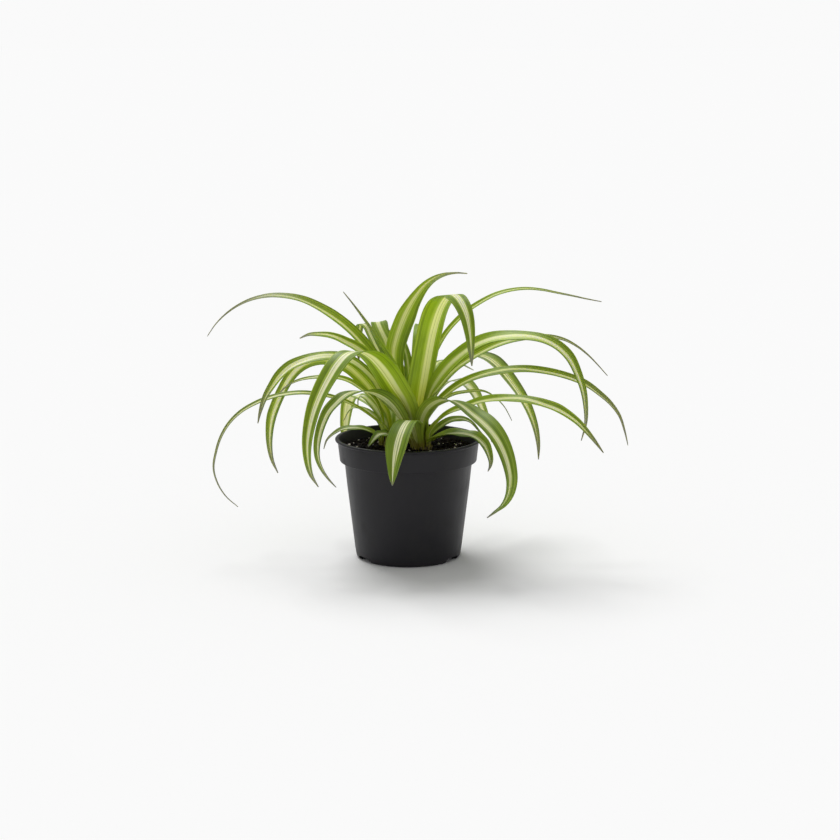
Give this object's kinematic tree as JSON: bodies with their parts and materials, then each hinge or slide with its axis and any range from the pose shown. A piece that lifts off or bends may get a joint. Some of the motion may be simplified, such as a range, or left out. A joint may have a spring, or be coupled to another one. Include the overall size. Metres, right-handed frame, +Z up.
{
  "type": "potted spider plant",
  "caption": "Arching spider plant with cream-striped leaves, planted in a black tapered nursery pot filled with dark soil.",
  "frame": {"origin": "centre of the pot's flat underside, on the floor", "axes": "+Z up along the pot's axis, -Y towards the viewer of the plant's front, +X to the right"},
  "size_m": [0.3492, 0.2365, 0.2317],
  "materials": {
    "pot": "satin moulded plastic",
    "soil": "damp crumbly potting soil with white perlite grains",
    "crown": "pale fibrous leaf bases",
    "leaf": "smooth waxy leaf, green margins and a cream centre stripe"
  },
  "bodies": {
    "root": {"pot": "pot", "soil": "soil", "crown_main": "crown", "crown_left": "crown", "crown_back": "crown", "leaf_left_long_arch": "leaf", "leaf_left_needle": "leaf", "leaf_left_broad": "leaf", "leaf_left_upper": "leaf", "leaf_left_middle": "leaf", "leaf_left_low": "leaf", "leaf_side_tall_arch": "leaf", "leaf_side_short": "leaf", "leaf_side_whip": "leaf", "leaf_side_behind": "leaf", "leaf_side_curl": "leaf", "leaf_side_stub": "leaf", "leaf_side_over_rim": "leaf", "leaf_side_small": "leaf", "leaf_side_back": "leaf", "leaf_front_short": "leaf", "leaf_top_curl": "leaf", "leaf_top_broad": "leaf", "leaf_top_hook": "leaf", "leaf_top_folded": "leaf", "leaf_top_back": "leaf", "leaf_new_spear": "leaf", "leaf_new_pale": "leaf", "leaf_right_long_arch": "leaf", "leaf_right_broad": "leaf", "leaf_right_striped": "leaf", "leaf_right_level": "leaf", "leaf_right_behind": "leaf", "leaf_right_low": "leaf", "leaf_right_front_broad": "leaf", "leaf_right_over_rim": "leaf", "leaf_right_small": "leaf", "leaf_right_thin": "leaf", "leaf_right_pale": "leaf", "leaf_right_far": "leaf", "leaf_back_tall": "leaf", "leaf_back_low": "leaf"}
  },
  "joints": []
}
